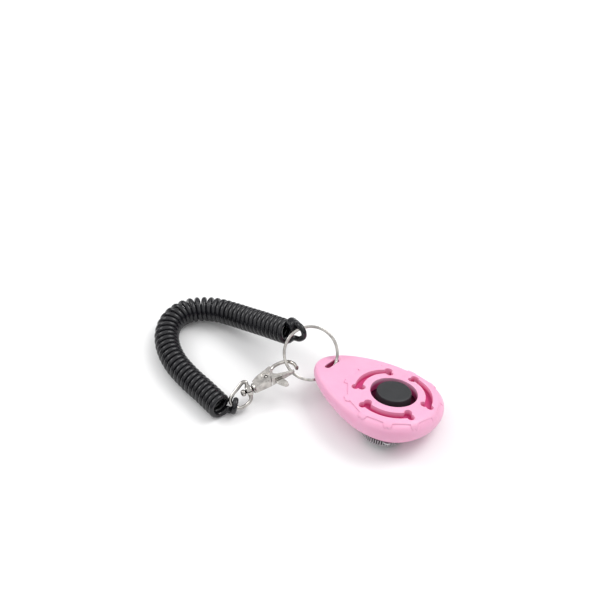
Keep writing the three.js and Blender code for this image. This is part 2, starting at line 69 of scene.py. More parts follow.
def mesh_object(name, vertices, faces, smooth=True):
    mesh = bpy.data.meshes.new(name)
    mesh.from_pydata([tuple(v) for v in vertices], [], faces)
    mesh.update()
    if smooth:
        mesh.polygons.foreach_set("use_smooth", [True] * len(mesh.polygons))
    return link(bpy.data.objects.new(name, mesh))


def catmull(points, per_span, closed=False):
    """Points along a centripetal Catmull-Rom curve through the given ones."""
    pts = [np.array(p, float) for p in points]
    count = len(pts)
    spans = count if closed else count - 1
    if not closed:
        pts = [2 * pts[0] - pts[1]] + pts + [2 * pts[-1] - pts[-2]]
    out = []
    for i in range(spans):
        if closed:
            p0, p1, p2, p3 = (pts[(i + k - 1) % count] for k in range(4))
        else:
            p0, p1, p2, p3 = pts[i : i + 4]
        t1 = np.linalg.norm(p1 - p0) ** 0.5
        t2 = t1 + np.linalg.norm(p2 - p1) ** 0.5
        t3 = t2 + np.linalg.norm(p3 - p2) ** 0.5
        for k in range(per_span):
            t = t1 + (t2 - t1) * k / per_span
            a1 = p0 + (p1 - p0) * (t / t1)
            a2 = p1 + (p2 - p1) * ((t - t1) / (t2 - t1))
            a3 = p2 + (p3 - p2) * ((t - t2) / (t3 - t2))
            b1 = a1 + (a2 - a1) * (t / t2)
            b2 = a2 + (a3 - a2) * ((t - t1) / (t3 - t1))
            out.append(b1 + (b2 - b1) * ((t - t1) / (t2 - t1)))
    if not closed:
        out.append(pts[-2])
    return np.array(out)


def resample(points, step):
    gaps = np.linalg.norm(np.diff(points, axis=0), axis=1)
    along = np.concatenate([[0], np.cumsum(gaps)])
    count = max(2, int(round(along[-1] / step)) + 1)
    at = np.linspace(0, along[-1], count)
    return np.stack([np.interp(at, along, points[:, k]) for k in range(3)], axis=1)


def frames_along(points, up=(0, 0, 1), closed=False):
    """Tangent, side and up vectors that don't twist along the points."""
    points = np.array(points, float)
    if closed:
        tangents = np.roll(points, -1, axis=0) - np.roll(points, 1, axis=0)
    else:
        tangents = np.gradient(points, axis=0)
    tangents /= np.linalg.norm(tangents, axis=1)[:, None]
    normal = np.array(up, float)
    ups = []
    for t in tangents:
        normal = normal - t * normal.dot(t)
        normal /= np.linalg.norm(normal)
        ups.append(normal)
    ups = np.array(ups)
    if closed:
        last = ups[-1] - tangents[0] * ups[-1].dot(tangents[0])
        twist = math.atan2(np.cross(last, ups[0]).dot(tangents[0]), last.dot(ups[0]))
        for i, t in enumerate(tangents):
            turn = Matrix.Rotation(twist * i / len(points), 3, Vector(t))
            ups[i] = np.array(turn @ Vector(ups[i]))
    sides = np.cross(ups, tangents)
    return tangents, sides, ups


def sweep(name, points, section, up=(0, 0, 1), closed=False, scale=None):
    """A closed tube of the given section, a list of (side, up) offsets, along the points."""
    points = np.array(points, float)
    _, sides, ups = frames_along(points, up, closed)
    count, ring = len(points), len(section)
    vertices = []
    for i, p in enumerate(points):
        s = 1.0 if scale is None else scale[i]
        for a, b in section:
            vertices.append(p + sides[i] * a * s + ups[i] * b * s)
    faces = []
    for i in range(count if closed else count - 1):
        j = (i + 1) % count
        for k in range(ring):
            m = (k + 1) % ring
            faces.append((i * ring + k, i * ring + m, j * ring + m, j * ring + k))
    if not closed:
        faces.append(tuple(reversed(range(ring))))
        faces.append(tuple((count - 1) * ring + k for k in range(ring)))
    obj = mesh_object(name, vertices, faces)
    fix_normals(obj)
    return obj


def fix_normals(obj):
    work = bmesh.new()
    work.from_mesh(obj.data)
    bmesh.ops.recalc_face_normals(work, faces=work.faces)
    work.to_mesh(obj.data)
    work.free()
    return obj


def circle(radius, sides):
    turns = [2 * math.pi * i / sides for i in range(sides)]
    return [(radius * math.cos(t), radius * math.sin(t)) for t in turns]


def rounded_box(width, height, corner, steps=4):
    """Section of a flat wire with round corners."""
    out = []
    for cx, cy, start in ((1, 1, 0), (-1, 1, 90), (-1, -1, 180), (1, -1, 270)):
        for k in range(steps + 1):
            t = math.radians(start + 90 * k / steps)
            out.append((cx * (width / 2 - corner) + corner * math.cos(t),
                        cy * (height / 2 - corner) + corner * math.sin(t)))
    return out


def turned(name, profile, sides=96):
    """A solid of revolution about Z from (radius, z) pairs that start and end on the axis."""
    vertices, faces, rings = [], [], []
    for radius, z in profile:
        if radius < 1e-9:
            rings.append([len(vertices)])
            vertices.append((0, 0, z))
            continue
        rings.append(list(range(len(vertices), len(vertices) + sides)))
        for k in range(sides):
            t = 2 * math.pi * k / sides
            vertices.append((radius * math.cos(t), radius * math.sin(t), z))
    for low, high in zip(rings, rings[1:]):
        for k in range(sides):
            m = (k + 1) % sides
            if len(low) == 1:
                faces.append((low[0], high[m], high[k]))
            elif len(high) == 1:
                faces.append((low[k], low[m], high[0]))
            else:
                faces.append((low[k], low[m], high[m], high[k]))
    obj = mesh_object(name, vertices, faces)
    fix_normals(obj)
    return obj


def prism(name, outline, low, high):
    """An upright prism of a flat outline."""
    count = len(outline)
    vertices = [(x, y, low) for x, y in outline] + [(x, y, high) for x, y in outline]
    faces = [tuple(reversed(range(count))), tuple(range(count, 2 * count))]
    for k in range(count):
        m = (k + 1) % count
        faces.append((k, m, count + m, count + k))
    obj = mesh_object(name, vertices, faces, smooth=False)
    fix_normals(obj)
    return obj


def disc(radius, x=0.0, y=0.0, sides=48):
    turns = [2 * math.pi * i / sides for i in range(sides)]
    return [(x + radius * math.cos(t), y + radius * math.sin(t)) for t in turns]


def combine(base, other, how):
    """Boolean of base with other, which is used up."""
    modifier = base.modifiers.new("combine", "BOOLEAN")
    modifier.object = other
    modifier.operation = how
    modifier.solver = "MANIFOLD"
    apply_modifiers(base)
    bpy.data.objects.remove(other)
    return base


def apply_modifiers(obj):
    graph = bpy.context.evaluated_depsgraph_get()
    graph.update()
    mesh = bpy.data.meshes.new_from_object(obj.evaluated_get(graph))
    obj.modifiers.clear()
    old = obj.data
    obj.data = mesh
    bpy.data.meshes.remove(old)
    return obj


def moulded(obj, voxel, rounds, factor=0.5):
    """Remeshes a solid finely and softens its edges, as a mould or a casting does."""
    modifier = obj.modifiers.new("remesh", "REMESH")
    modifier.mode = "VOXEL"
    modifier.voxel_size = voxel
    modifier.use_smooth_shade = True
    smooth = obj.modifiers.new("soften", "SMOOTH")
    smooth.factor = factor
    smooth.iterations = rounds
    return apply_modifiers(obj)


def place(obj, matrix):
    obj.data.transform(matrix)
    obj.data.update()
    return obj


# ------------------------------------------------------------------ materials
def new_material(name):
    material = bpy.data.materials.new(name)
    material.use_nodes = True
    tree = material.node_tree
    tree.nodes.clear()
    out = tree.nodes.new("ShaderNodeOutputMaterial")
    shader = tree.nodes.new("ShaderNodeBsdfPrincipled")
    tree.links.new(shader.outputs["BSDF"], out.inputs["Surface"])
    place_node = tree.nodes.new("ShaderNodeTexCoord")
    return material, tree, shader, place_node.outputs["Object"]


def noise_node(tree, coordinates, scale, detail=3.0, roughness=0.5):
    node = tree.nodes.new("ShaderNodeTexNoise")
    node.inputs["Scale"].default_value = scale
    node.inputs["Detail"].default_value = detail
    node.inputs["Roughness"].default_value = roughness
    tree.links.new(coordinates, node.inputs["Vector"])
    return node.outputs["Fac"]


def ramp_node(tree, factor, stops):
    node = tree.nodes.new("ShaderNodeValToRGB")
    ramp = node.color_ramp
    while len(ramp.elements) < len(stops):
        ramp.elements.new(0.5)
    for element, (position, colour) in zip(ramp.elements, stops):
        element.position = position
        element.color = (*colour, 1.0)
    tree.links.new(factor, node.inputs["Fac"])
    return node.outputs["Color"]


def span_node(tree, factor, low, high):
    node = tree.nodes.new("ShaderNodeMapRange")
    node.inputs["To Min"].default_value = low
    node.inputs["To Max"].default_value = high
    tree.links.new(factor, node.inputs["Value"])
    return node.outputs["Result"]


def bump_node(tree, heights, strength, distance):
    previous = None
    for height in heights:
        node = tree.nodes.new("ShaderNodeBump")
        node.inputs["Strength"].default_value = strength
        node.inputs["Distance"].default_value = distance
        tree.links.new(height, node.inputs["Height"])
        if previous is not None:
            tree.links.new(previous, node.inputs["Normal"])
        previous = node.outputs["Normal"]
    return previous


def plastic(name, dark, light, rough=(0.35, 0.5), grain=2600.0, grain_depth=0.00001,
            coat=0.0, subsurface=0.0, subsurface_radius=None):
    material, tree, shader, where = new_material(name)
    tone = noise_node(tree, where, 90.0, 4.0)
    colour = ramp_node(tree, tone, [(0.3, dark), (0.7, light)])
    tree.links.new(colour, shader.inputs["Base Color"])
    smear = noise_node(tree, where, 420.0, 4.0, 0.6)
    tree.links.new(span_node(tree, smear, *rough), shader.inputs["Roughness"])
    fine = noise_node(tree, where, grain, 2.0)
    broad = noise_node(tree, where, grain / 7, 2.0)
    tree.links.new(bump_node(tree, [fine, broad], 0.35, grain_depth), shader.inputs["Normal"])
    shader.inputs["Coat Weight"].default_value = coat
    shader.inputs["Coat Roughness"].default_value = 0.25
    shader.inputs["Subsurface Weight"].default_value = subsurface
    if subsurface_radius:
        shader.inputs["Subsurface Radius"].default_value = subsurface_radius
        shader.inputs["Subsurface Scale"].default_value = 0.001
    return material


def metal(name, dark, light, rough=(0.06, 0.17), grain=3500.0, depth=0.000003):
    material, tree, shader, where = new_material(name)
    tone = noise_node(tree, where, 260.0, 5.0, 0.6)
    tree.links.new(ramp_node(tree, tone, [(0.35, dark), (0.65, light)]),
                   shader.inputs["Base Color"])
    shader.inputs["Metallic"].default_value = 1.0
    smear = noise_node(tree, where, 700.0, 5.0, 0.65)
    tree.links.new(span_node(tree, smear, *rough), shader.inputs["Roughness"])
    fine = noise_node(tree, where, grain, 3.0)
    pits = noise_node(tree, where, grain / 4, 2.0)
    tree.links.new(bump_node(tree, [fine, pits], 0.25, depth), shader.inputs["Normal"])
    return material


def paint_shade_in(material, colour):
    """Blends the base colour into a darker one by a point attribute: painted shade down the pockets,
    the well and the slot, on the button's flange and in the dial's tooth gaps.
    """
    tree = material.node_tree
    shader = next(n for n in tree.nodes if n.type == "BSDF_PRINCIPLED")
    plain = shader.inputs["Base Color"].links[0].from_socket
    depth = tree.nodes.new("ShaderNodeAttribute")
    depth.attribute_name = "painted_shade"
    blend = tree.nodes.new("ShaderNodeMix")
    blend.data_type = "RGBA"
    tree.links.new(depth.outputs["Fac"], blend.inputs["Factor"])
    tree.links.new(plain, blend.inputs["A"])
    blend.inputs["B"].default_value = (*colour, 1.0)
    tree.links.new(blend.outputs["Result"], shader.inputs["Base Color"])


PINK = plastic("pink_shell", (0.85, 0.40, 0.585), (0.88, 0.435, 0.62), rough=(0.34, 0.45),
               subsurface=0.15, subsurface_radius=(1.0, 0.45, 0.6))
# painted shade: the shell goes deep magenta down the pockets, the well and the slot
paint_shade_in(PINK, (0.64, 0.06, 0.23))
BLACK_PLASTIC = plastic("black_plastic", (0.018, 0.019, 0.021), (0.03, 0.031, 0.034),
                        rough=(0.42, 0.55), grain_depth=0.00002)
# painted shade: the button's flange deep in the well is painted dark magenta
paint_shade_in(BLACK_PLASTIC, (0.12, 0.008, 0.045))
CORD = plastic("cord", (0.005, 0.005, 0.0068), (0.009, 0.009, 0.0118), rough=(0.2, 0.32),
               grain=1800.0, grain_depth=0.00001)
PALE = plastic("pale_plastic", (0.45, 0.43, 0.45), (0.55, 0.52, 0.54), rough=(0.3, 0.4),
               subsurface=0.1, subsurface_radius=(1.0, 0.9, 0.95))
# painted shade: the gaps between the dial's teeth are painted near black
paint_shade_in(PALE, (0.02, 0.018, 0.02))
NICKEL = metal("nickel", (0.33, 0.315, 0.3), (0.66, 0.635, 0.6))
STEEL = metal("steel", (0.4, 0.4, 0.41), (0.56, 0.56, 0.57), rough=(0.18, 0.34))


def dress(obj, material):
    obj.data.materials.clear()
    obj.data.materials.append(material)
    return obj


# ------------------------------------------------------------------ wrist cord
CORD_DIAMETER = 0.0025
COIL_OUTSIDE = 0.0115
ROUTE_STEP = 0.0002
BEND_REACH = 20                  # route steps each way that a bend is measured over
MOST_SPREAD = 0.17               # how far the turns open at most on a bend
TIGHT_PITCH = 0.00256           # the turns touch along the straight parts
POINTS_PER_TURN = 24
COIL_PHASE = -135.0              # the lower end starts inside, by the eye
PART_TURN = 0.125                # and the upper end stops at the bottom
COIL_ROUTE = [
    (-0.0600, -0.04635, 0.0058), (-0.0722, -0.0437, 0.0058), (-0.0829, -0.0417, 0.0058),
    (-0.0938, -0.0384, 0.0058), (-0.1028, -0.0334, 0.0058), (-0.1096, -0.0268, 0.0058),
    (-0.1132, -0.0188, 0.0058), (-0.1125, -0.0109, 0.0058), (-0.1080, -0.0050, 0.0059),
    (-0.1013, -0.0016, 0.0068), (-0.0923, -0.0005, 0.0087), (-0.0830, -0.0003, 0.0110),
    (-0.0738, -0.0003, 0.0136), (-0.0654, -0.0005, 0.0159), (-0.0588, -0.0007, 0.0178),
]
UPPER_LOOP = [
    (-0.0562, -0.0028, 0.0156), (-0.0540, -0.0022, 0.0182), (-0.0511, -0.0019, 0.0191),
    (-0.0492, -0.0013, 0.0212), (-0.0493, -0.0010, 0.0237), (-0.0514, -0.0005, 0.0255),
    (-0.0538, 0.0002, 0.0250), (-0.0556, 0.0008, 0.0234), (-0.0572, 0.0010, 0.0216),
]
LOWER_LOOP_CENTRE = Vector((-0.05689, -0.04073, 0.00409))
LOWER_LOOP_AXIS = Vector((0.81, 0.53, -0.2)).normalized()
LOWER_LOOP_RADIUS = 0.0027
LOWER_LOOP_EXIT = [(-0.0580, -0.0420, 0.0018)]


def lower_loop_points():
    """Round the eye's wire, then out to the coil."""
    towards = LOWER_LOOP_AXIS.cross(Vector((0, 0, 1))).normalized()
    down = LOWER_LOOP_AXIS.cross(towards)
    points = []
    for step in range(13):
        turn = math.radians(405 - 26 * step)
        points.append(tuple(LOWER_LOOP_CENTRE + LOWER_LOOP_RADIUS * (
            towards * math.cos(turn) + down * math.sin(turn))))
    return points + LOWER_LOOP_EXIT


def coil_points():
    """Turns that touch on the straight parts and open a little on the outside of the bend."""
    axis_line = resample(catmull(COIL_ROUTE, 40), ROUTE_STEP)
    _, sides, ups = frames_along(axis_line)
    radius = (COIL_OUTSIDE - CORD_DIAMETER) / 2
    pitches = []
    for i in range(len(axis_line)):
        low, high = max(0, i - BEND_REACH), min(len(axis_line) - 1, i + BEND_REACH)
        before = axis_line[i] - axis_line[low] if i > low else axis_line[1] - axis_line[0]
        after = axis_line[high] - axis_line[i] if high > i else before
        angle = math.acos(min(1.0, before.dot(after) / np.linalg.norm(before)
                              / np.linalg.norm(after)))
        curvature = 2 * angle / (ROUTE_STEP * (high - low))
        pitches.append(TIGHT_PITCH / (1 - min(MOST_SPREAD, curvature * radius)))
    pitches = np.convolve(np.pad(pitches, 25, mode="edge"), np.ones(51) / 51, mode="valid")
    phase = np.concatenate([[0], np.cumsum(ROUTE_STEP / pitches[1:])])
    turns = round(phase[-1]) + PART_TURN
    phase *= turns / phase[-1]
    points = []
    for i in range(round(turns * POINTS_PER_TURN) + 1):
        at = np.interp(i / POINTS_PER_TURN, phase, np.arange(len(phase)))
        low = min(int(at), len(axis_line) - 2)
        mix = at - low
        centre = axis_line[low] * (1 - mix) + axis_line[low + 1] * mix
        turn = 2 * math.pi * i / POINTS_PER_TURN + math.radians(COIL_PHASE)
        points.append(centre + radius * (sides[low] * math.cos(turn) + ups[low] * math.sin(turn)))
    return np.array(points)


coil = coil_points()
lower = catmull(lower_loop_points() + [tuple(coil[0]), tuple(coil[2])], 8)[: -9]
upper = catmull([tuple(coil[-3]), tuple(coil[-1])] + UPPER_LOOP, 10)[11:]
cord_line = np.concatenate([lower, coil, upper]) + np.array(SHIFT)

cord_curve = bpy.data.curves.new("wrist_cord", "CURVE")
cord_curve.dimensions = "3D"
cord_curve.bevel_depth = CORD_DIAMETER / 2
cord_curve.bevel_resolution = 5
cord_curve.use_fill_caps = True
spline = cord_curve.splines.new("POLY")
spline.points.add(len(cord_line) - 1)
for point, place_at in zip(spline.points, cord_line):
    point.co = (*place_at, 1.0)
spline.use_smooth = True
wrist_cord = link(bpy.data.objects.new("wrist_cord", cord_curve))
cord_curve.materials.append(CORD)


def knob(name, centre, along, length, radius):
    """A moulded sleeve where the cord's end is joined to the coil."""
    half = length / 2
    profile = [(0, -half), (radius * 0.75, -half), (radius * 0.95, -half * 0.86),
               (radius, -half * 0.5), (radius * 0.97, 0), (radius, half * 0.5),
               (radius * 0.95, half * 0.86), (radius * 0.75, half), (0, half)]
    obj = turned(name, profile, 40)
    turn = Vector(along).normalized().to_track_quat("Z", "Y").to_matrix().to_4x4()
    place(obj, Matrix.Translation(Vector(centre) + SHIFT) @ turn)
    bevel = obj.modifiers.new("round", "SUBSURF")
    bevel.levels = bevel.render_levels = 2
    apply_modifiers(obj)
    return dress(obj, CORD)


upper_knob = knob("upper_cord_sleeve", (-0.0570, 0.0011, 0.0223), (0.9, -0.4, 0.35),
                  length=0.0060, radius=0.0028)
lower_knob = knob("lower_cord_sleeve", (-0.0587, -0.0427, 0.0021), (0.75, 0.6, -0.45),
                  length=0.0030, radius=0.0016)

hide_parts("coil_cord", "coil_upper_loop", "coil_lower_loop")
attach(wrist_cord, "coil")
for piece in (upper_knob, lower_knob):
    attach(piece, "coil")

# ------------------------------------------------------------------ clicker frame
FACE_HEIGHT = 0.0165
PITCH, ROLL = -2.2, -12.3
BODY = Matrix.Translation(Vector((0, 0, FACE_HEIGHT)) + SHIFT) @ (
    Matrix.Rotation(math.radians(PITCH), 4, "Y") @ Matrix.Rotation(math.radians(ROLL), 4, "X"))
BODY_MM = BODY @ Matrix.Scale(MM, 4)          # the clicker's shapes are worked out in millimetres

LENGTH, WIDTH, CENTRE_X = 63.0, 45.0, -9.3
TAPER, FULLNESS, WAIST = 0.25, 0.078, 0.03    # how the egg's outline differs from an ellipse
FACE_INSET = 4.5                              # from the outline in to the edge of the face
PLATE_LIFT, PLATE_INSET = 0.7, 0.1            # the raised plate inside the chain of bones
# the side's section from the face's edge down, as (inset from the outline, depth below the face)
OUTER_ROWS = [
    (4.5, 0), (3.7, 0.06), (3.0, 0.2), (2.4, 0.45), (1.8, 0.8), (1.25, 1.3), (0.8, 1.9),
    (0.45, 2.5), (0.2, 3.2), (0.05, 4.0), (0, 4.8), (0.03, 5.5), (0.15, 6.2), (0.42, 7.0),
    (0.8, 7.8), (1.35, 8.5), (2.0, 9.2), (2.8, 9.8), (3.8, 10.4), (5.2, 11.0), (7, 11.5),
    (9, 11.85), (11, 12.1),
]
THICKNESS_AT = (-41, -33, -25, -13, -5, 5, 13)
THICKNESS = (0.46, 0.54, 0.66, 0.84, 0.92, 0.98, 1)
PARTING_Z, PARTING_GAP = -10.7, 0.3
NOSE_DROP, DOME = 2.8, 200


def face_z(x, y):
    """Height of the face: a shallow dome that drops towards the nose."""
    slope = np.clip((-x - 11) / 29.8, 0, 1.2)
    lengthwise = np.where(x > 0, x * x / DOME, 0)
    return -NOSE_DROP * slope**1.6 - y * y / DOME - lengthwise


def thickness_at(x):
    return float(np.interp(x, THICKNESS_AT, THICKNESS))


def outline_at(turn):
    """A point of the outline and its outward direction."""
    c, s = math.cos(turn), math.sin(turn)
    waist = max(0.0, 0.3 - c)
    fullness = 1 + TAPER * c + FULLNESS * c * c - WAIST * waist * waist
    change = TAPER + 2 * FULLNESS * c + 2 * WAIST * waist
    dx = -(LENGTH / 2) * s
    dy = (WIDTH / 2) * (c * fullness - s * s * change)
    size = math.hypot(dx, dy)
    return (LENGTH / 2 * c + CENTRE_X, WIDTH / 2 * s * fullness, dy / size, -dx / size)


def egg(name, lift=0.0, segments=240, under=-13.7, drawn_in=0.0):
    """The closed egg: rows of points over the face, down the side and across the underside."""
    face_shares = [0, 0.1, 0.2, 0.3, 0.4, 0.5, 0.6, 0.7, 0.8, 0.88, 0.95]
    under_shares = [0.85, 0.7, 0.5, 0.3, 0]
    rows = [("face", s) for s in face_shares] + [("side", r) for r in OUTER_ROWS]
    rows += [("under", s) for s in under_shares]
    vertices, rings = [], []
    for kind, value in rows:
        if kind in ("face", "under") and value == 0:
            z = float(face_z(np.float64(CENTRE_X), np.float64(0))) + lift
            rings.append([len(vertices)])
            vertices.append((CENTRE_X, 0, z if kind == "face" else under))
            continue
        ring = []
        for k in range(segments):
            x0, y0, nx, ny = outline_at(2 * math.pi * k / segments)
            scale = thickness_at(x0)
            inset, depth = value if kind == "side" else OUTER_ROWS[0 if kind == "face" else -1]
            share = 1 if kind == "side" else value
            inset = inset * scale + drawn_in
            x = CENTRE_X + (x0 - nx * inset - CENTRE_X) * share
            y = (y0 - ny * inset) * share
            if kind == "face":
                z = float(face_z(np.float64(x), np.float64(y))) + lift
            else:
                cx, cy = x0 - nx * FACE_INSET * scale, y0 - ny * FACE_INSET * scale
                edge = float(face_z(np.float64(cx), np.float64(cy))) - depth * scale + lift
                z = under + (edge - under) * share**1.6
            ring.append(len(vertices))
            vertices.append((x, y, z))
        rings.append(ring)
    faces = []
    for low, high in zip(rings, rings[1:]):
        for k in range(segments):
            m = (k + 1) % segments
            if len(low) == 1:
                faces.append((low[0], high[k], high[m]))
            elif len(high) == 1:
                faces.append((low[k], high[0], low[m]))
            else:
                faces.append((low[k], high[k], high[m], low[m]))
    obj = mesh_object(name, vertices, faces)
    fix_normals(obj)
    return obj


def box_solid(name, x0, x1, y0, y1, z0, z1):
    return prism(name, [(x0, y0), (x1, y0), (x1, y1), (x0, y1)], z0, z1)


CHAIN_RADIUS, CHAIN_BONES, CHAIN_START = 21.1, 11, -127.0
KNOB_RADIUS, KNOB_SPREAD, KNOB_OUT = 1.15, 0.8, 0.1
POCKET_RADIUS, POCKET_WIDTH, POCKET_HALF_SPAN, POCKET_DEPTH = 15.6, 3.2, 37.0, 2.7
LOBE_RADIUS, LOBE_OFFSET = 1.7, 1.35
SLOT_X, SLOT_HALF_WIDTH, SLOT_HALF_LENGTH = -33.75, 1.4, 3.0


def chain_solid():
    """The plate's outline: a ring of straight shafts with a pair of knobs at each corner."""
    corners = []
    for i in range(CHAIN_BONES):
        t = math.radians(CHAIN_START + 360 * i / CHAIN_BONES)
        corners.append((CHAIN_RADIUS * math.cos(t), CHAIN_RADIUS * math.sin(t)))
    plate = prism("chain", corners, -6, 3)
    for i, (x, y) in enumerate(corners):
        for side in (-1, 1):
            t = math.radians(CHAIN_START + 360 * i / CHAIN_BONES)
            px = x - side * KNOB_SPREAD * math.sin(t) + KNOB_OUT * math.cos(t)
            py = y + side * KNOB_SPREAD * math.cos(t) + KNOB_OUT * math.sin(t)
            plate = combine(plate, prism("knob", disc(KNOB_RADIUS, px, py, 40), -6, 3), "UNION")
    return plate


def pocket_solid(middle):
    """A curved bone: a band round the button with two lobes at each end."""
    half = POCKET_HALF_SPAN
    outer, inner = POCKET_RADIUS + POCKET_WIDTH / 2, POCKET_RADIUS - POCKET_WIDTH / 2
    band = []
    for k in range(41):
        t = math.radians(middle - half + 2 * half * k / 40)
        band.append((outer * math.cos(t), outer * math.sin(t)))
    for k in range(41):
        t = math.radians(middle + half - 2 * half * k / 40)
        band.append((inner * math.cos(t), inner * math.sin(t)))
    pocket = prism("pocket", band, -8, 3)
    for end in (-1, 1):
        for side in (-1, 1):
            t = math.radians(middle + end * (half + 2))
            r = POCKET_RADIUS + side * LOBE_OFFSET
            lobe = prism("lobe", disc(LOBE_RADIUS, r * math.cos(t), r * math.sin(t), 40), -8, 3)
            pocket = combine(pocket, lobe, "UNION")
    return pocket


def slot_solid():
    outline = []
    for end in (1, -1):
        for k in range(25):
            t = math.pi * k / 24 + (0 if end > 0 else math.pi)
            outline.append((SLOT_X + SLOT_HALF_WIDTH * math.cos(t),
                            end * SLOT_HALF_LENGTH + SLOT_HALF_WIDTH * math.sin(t)))
    cut = prism("slot", outline, -20, 5)
    return combine(cut, box_solid("relief", -36.3, -31.6, -6, 4.6, -20, -2.9), "UNION")


def mark_painted_shade(obj):
    """Marks how far each point lies down a pocket, the well or the slot, as the mask of the painted
    shade there.
    """
    flat = np.empty(len(obj.data.vertices) * 3, np.float32)
    obj.data.vertices.foreach_get("co", flat)
    x, y, z = flat.reshape(-1, 3).T
    below = face_z(x, y) - z
    inside = (np.hypot(x, y) < 18.4) | ((abs(x - SLOT_X) < 2.6) & (abs(y) < 5.6))
    inside &= below < 7.5
    painted_shade = np.where(inside, np.clip((below - 0.3) / 1.7, 0, 1), 0)
    obj.data.attributes.new("painted_shade", "FLOAT", "POINT").data.foreach_set("value", painted_shade)


WELL_RADIUS = 10.45
DIAL_X, DIAL_Y = 2.2, -8.2
PORT_RADIUS, PORT_AT = 1.2, 4.9               # the sound ports, round the dial's axis
SHELL_VOXEL = 0.17

shell = combine(egg("top_cover"), box_solid("cut", -60, 40, -40, 40, PARTING_Z, 10), "INTERSECT")
plate = egg("plate", lift=PLATE_LIFT, drawn_in=PLATE_INSET)
plate = combine(plate, box_solid("cut", -60, 40, -40, 40, -5, 10), "INTERSECT")
plate = combine(plate, chain_solid(), "INTERSECT")
shell = combine(shell, plate, "UNION")
for middle in (-68, 52, 172):
    pocket = combine(pocket_solid(middle), egg("floor", lift=-POCKET_DEPTH), "DIFFERENCE")
    shell = combine(shell, pocket, "DIFFERENCE")
shell = combine(shell, slot_solid(), "DIFFERENCE")
shell = combine(shell, prism("well", disc(WELL_RADIUS, sides=160), -5.0, 5), "DIFFERENCE")
shell = combine(shell, prism("well_deep", disc(12.6, sides=160), -8.2, -4.6), "DIFFERENCE")
moulded(shell, SHELL_VOXEL, 4)
# the mask for the painted shade down the pockets, the well and the slot
mark_painted_shade(shell)
place(shell, BODY_MM)
shell.name = "top_cover"
dress(shell, PINK)
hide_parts("top_shell")
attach(shell, "clicker")

base_room = box_solid("cut", -60, 40, -40, 40, -20, PARTING_Z - PARTING_GAP)
base = combine(egg("bottom_cover"), base_room, "INTERSECT")
for x, y in ((-20, 0), (10, 16.2), (10, -16.6)):
    base = combine(base, prism("head_hole", disc(2.2, x, y, 40), -20, -11.7), "DIFFERENCE")
base = combine(base, prism("dial_hole", disc(2.5, DIAL_X, DIAL_Y, 48), -20, -12.4), "DIFFERENCE")
for i in range(3):
    t = math.radians(i * 120 + 90)
    port_outline = disc(PORT_RADIUS, DIAL_X + PORT_AT * math.cos(t), DIAL_Y + PORT_AT * math.sin(t), 32)
    base = combine(base, prism("port", port_outline, -20, -12), "DIFFERENCE")
moulded(base, SHELL_VOXEL, 4)
place(base, BODY_MM)
dress(base, PINK)
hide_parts("bottom_shell")
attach(base, "clicker")

# ------------------------------------------------------------------ button
button = turned("button", [
    (0, -6.1), (12.2, -6.1), (12.2, -5.1), (8.0, -5.1), (7.94, -4.9), (7.7, 0.3), (7.68, 0.5),
    (7.6, 0.7), (7.47, 0.85), (7.3, 0.93), (6.9, 0.97), (6, 0.99), (0, 1.02),
], 128)
# the flange's points carry the painted shade
flange_shade = [1.0 if v.co.z < -5.05 else 0.0 for v in button.data.vertices]
button.data.attributes.new("painted_shade", "FLOAT", "POINT").data.foreach_set("value", flange_shade)
place(button, BODY_MM)
dress(button, BLACK_PLASTIC)
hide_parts("button_cap")
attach(button, "button")

# ------------------------------------------------------------------ split ring
RING_CENTRE = Vector((-0.04375, -0.0029, 0.0154)) + SHIFT
RING_ACROSS = Vector((0.7133, 0.7009, 0))
RING_UP = Vector((-0.5084, 0.5174, 0.6884))
RING_FRAME = Matrix((RING_ACROSS, RING_UP, RING_ACROSS.cross(RING_UP))).transposed().to_4x4()
RING_FRAME.translation = RING_CENTRE

ring_line = []
RING_RADIUS, RING_TURNS, RING_STEPS = 11.95, 1.94, 400
for i in range(RING_STEPS + 1):
    share = i / RING_STEPS
    turn = share * RING_TURNS * 2 * math.pi
    ring_line.append((RING_RADIUS * math.cos(turn), RING_RADIUS * math.sin(turn),
                      0.9 * RING_TURNS * (share - 0.5)))
ring = sweep("ring", ring_line, rounded_box(1.3, 0.7, 0.3), up=(0, 0, 1))
place(ring, RING_FRAME @ Matrix.Scale(MM, 4))
dress(ring, NICKEL)
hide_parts("split_ring")
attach(ring, "ring")

# ------------------------------------------------------------------ snap hook
HOOK_TURN = Matrix.Rotation(math.radians(62.4), 4, "Z") @ Matrix.Rotation(math.radians(-10.5), 4, "Y")
HANG_TURN = math.radians(206)
HANG_POINT = RING_FRAME @ Vector((RING_RADIUS * math.cos(HANG_TURN) * MM,
                                  RING_RADIUS * math.sin(HANG_TURN) * MM, 0))
HOOK_MOUTH = Vector((20.55, 3.05, 0)) * MM
HOOK_FRAME = Matrix.Translation(HANG_POINT - HOOK_TURN @ HOOK_MOUTH) @ HOOK_TURN
HOOK_MM = HOOK_FRAME @ Matrix.Scale(MM, 4)
EYE_MM = HOOK_MM @ Matrix.Rotation(math.radians(44.5), 4, "X")
HOOK_VOXEL = 0.085
PIVOT_X, PIVOT_Y = 9.4, 1.5
ALONG_X = Matrix.Rotation(math.radians(90), 4, "Y")


def flat_curve(points, per_span=8):
    return [(x, y) for x, y, _ in catmull([(x, y, 0) for x, y in points], per_span)]


def tapered(obj, middle, root, slope):
    """Thins a piece along X, about z = 0."""
    for vertex in obj.data.vertices:
        vertex.co.z *= (root - slope * (vertex.co.x - middle)) / root
    return obj


